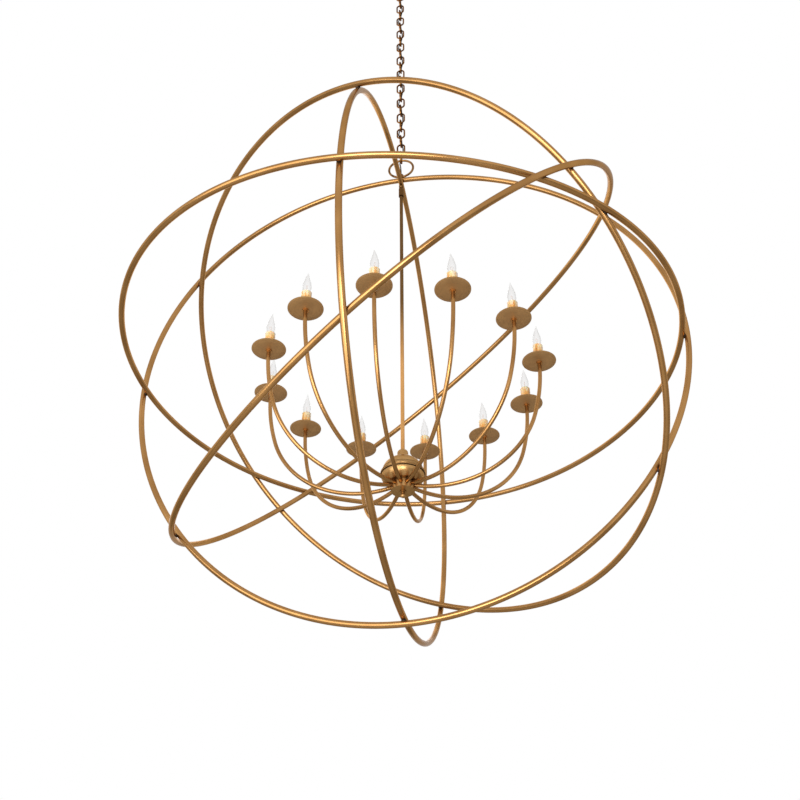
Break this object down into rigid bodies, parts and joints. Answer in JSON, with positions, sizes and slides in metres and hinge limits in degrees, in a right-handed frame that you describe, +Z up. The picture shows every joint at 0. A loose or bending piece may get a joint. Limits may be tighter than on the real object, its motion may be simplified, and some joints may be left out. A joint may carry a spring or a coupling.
{
  "type": "orb chandelier",
  "caption": "Hanging orb chandelier: woven metal rings around candle-style lamps on curved arms, hung by a linked chain from a round ceiling canopy.",
  "frame": {"origin": "centre of the crossbar's upper face, in the ceiling plane above the canopy", "axes": "+Z up; +Y through the front ring, along its normal, away from the viewer; +X to the viewer's right"},
  "size_m": [1.8523, 1.8465, 3.2381],
  "materials": {
    "antique_gold": "brushed antique gold lacquer over steel tube",
    "chain": "dark antique gold",
    "weld": "darkened weld beads under lacquer",
    "fitting_steel": "zinc-plated steel",
    "cord": "dark insulated cord",
    "candle_cover": "amber cream candle cover with drips",
    "lamp_glass": "clear glass"
  },
  "bodies": {
    "ceiling_fitting": {"canopy_strap": "fitting_steel", "canopy": "antique_gold", "canopy_nipple": "fitting_steel", "canopy_loop": "antique_gold", "cord_at_canopy": "cord"},
    "top_link": {"chain_link_top": "chain", "cord_in_top_link": "cord"},
    "chain": {"chain_run": "chain", "cord_in_chain": "cord"},
    "bottom_link": {"chain_link_bottom": "chain", "cord_in_bottom_link": "cord"},
    "orb": {"arm_01": "antique_gold", "arm_02": "antique_gold", "arm_03": "antique_gold", "arm_04": "antique_gold", "arm_05": "antique_gold", "arm_06": "antique_gold", "arm_07": "antique_gold", "arm_08": "antique_gold", "arm_09": "antique_gold", "arm_10": "antique_gold", "arm_11": "antique_gold", "arm_12": "antique_gold", "arm_drum": "antique_gold", "candle_01": "candle_cover", "candle_02": "candle_cover", "candle_03": "candle_cover", "candle_04": "candle_cover", "candle_05": "candle_cover", "candle_06": "candle_cover", "candle_07": "candle_cover", "candle_08": "candle_cover", "candle_09": "candle_cover", "candle_10": "candle_cover", "candle_11": "candle_cover", "candle_12": "candle_cover", "cord_to_stem": "cord", "finial": "antique_gold", "hanging_loop": "antique_gold", "hub_bowl": "antique_gold", "hub_dome": "antique_gold", "orb_ring_front": "antique_gold", "orb_ring_level": "antique_gold", "orb_ring_side": "antique_gold", "orb_ring_slant_one": "antique_gold", "orb_ring_slant_two": "antique_gold", "ring_welds": "weld", "stem": "antique_gold"},
    "lamp_01": {"lamp_01": "lamp_glass"},
    "lamp_02": {"lamp_02": "lamp_glass"},
    "lamp_03": {"lamp_03": "lamp_glass"},
    "lamp_04": {"lamp_04": "lamp_glass"},
    "lamp_05": {"lamp_05": "lamp_glass"},
    "lamp_06": {"lamp_06": "lamp_glass"},
    "lamp_07": {"lamp_07": "lamp_glass"},
    "lamp_08": {"lamp_08": "lamp_glass"},
    "lamp_09": {"lamp_09": "lamp_glass"},
    "lamp_10": {"lamp_10": "lamp_glass"},
    "lamp_11": {"lamp_11": "lamp_glass"},
    "lamp_12": {"lamp_12": "lamp_glass"}
  },
  "joints": [
    {"name": "top_link_swing", "type": "hinge", "parent": "ceiling_fitting", "child": "top_link", "pos_m": [0, 0, -0.0835], "axis": [1, 0, 0], "range_deg": [-12, 12], "deforming": ["cord_at_canopy"]},
    {"name": "chain_swing", "type": "hinge", "parent": "top_link", "child": "chain", "pos_m": [0, 0, -0.1319], "axis": [0, 1, 0], "range_deg": [-12, 12], "deforming": ["cord_in_top_link"]},
    {"name": "bottom_link_swing", "type": "hinge", "parent": "chain", "child": "bottom_link", "pos_m": [0, 0, -1.2451], "axis": [1, 0, 0], "range_deg": [-12, 12], "deforming": ["cord_in_bottom_link"]},
    {"name": "orb_swing", "type": "hinge", "parent": "bottom_link", "child": "orb", "pos_m": [0, 0, -1.2935], "axis": [0, 1, 0], "range_deg": [-12, 12], "deforming": ["cord_to_stem"]},
    {"name": "lamp_01_turn", "type": "hinge", "parent": "orb", "child": "lamp_01", "pos_m": [0.449, 0, -2.30425], "axis": [0, 0, 1], "range_deg": [0, 1440]},
    {"name": "lamp_02_turn", "type": "hinge", "parent": "orb", "child": "lamp_02", "pos_m": [0.38884, 0.2245, -2.30425], "axis": [0, 0, 1], "range_deg": [0, 1440]},
    {"name": "lamp_03_turn", "type": "hinge", "parent": "orb", "child": "lamp_03", "pos_m": [0.2245, 0.38884, -2.30425], "axis": [0, 0, 1], "range_deg": [0, 1440]},
    {"name": "lamp_04_turn", "type": "hinge", "parent": "orb", "child": "lamp_04", "pos_m": [0, 0.449, -2.30425], "axis": [0, 0, 1], "range_deg": [0, 1440]},
    {"name": "lamp_05_turn", "type": "hinge", "parent": "orb", "child": "lamp_05", "pos_m": [-0.2245, 0.38884, -2.30425], "axis": [0, 0, 1], "range_deg": [0, 1440]},
    {"name": "lamp_06_turn", "type": "hinge", "parent": "orb", "child": "lamp_06", "pos_m": [-0.38884, 0.2245, -2.30425], "axis": [0, 0, 1], "range_deg": [0, 1440]},
    {"name": "lamp_07_turn", "type": "hinge", "parent": "orb", "child": "lamp_07", "pos_m": [-0.449, 0, -2.30425], "axis": [0, 0, 1], "range_deg": [0, 1440]},
    {"name": "lamp_08_turn", "type": "hinge", "parent": "orb", "child": "lamp_08", "pos_m": [-0.38884, -0.2245, -2.30425], "axis": [0, 0, 1], "range_deg": [0, 1440]},
    {"name": "lamp_09_turn", "type": "hinge", "parent": "orb", "child": "lamp_09", "pos_m": [-0.2245, -0.38884, -2.30425], "axis": [0, 0, 1], "range_deg": [0, 1440]},
    {"name": "lamp_10_turn", "type": "hinge", "parent": "orb", "child": "lamp_10", "pos_m": [0, -0.449, -2.30425], "axis": [0, 0, 1], "range_deg": [0, 1440]},
    {"name": "lamp_11_turn", "type": "hinge", "parent": "orb", "child": "lamp_11", "pos_m": [0.2245, -0.38884, -2.30425], "axis": [0, 0, 1], "range_deg": [0, 1440]},
    {"name": "lamp_12_turn", "type": "hinge", "parent": "orb", "child": "lamp_12", "pos_m": [0.38884, -0.2245, -2.30425], "axis": [0, 0, 1], "range_deg": [0, 1440]}
  ]
}
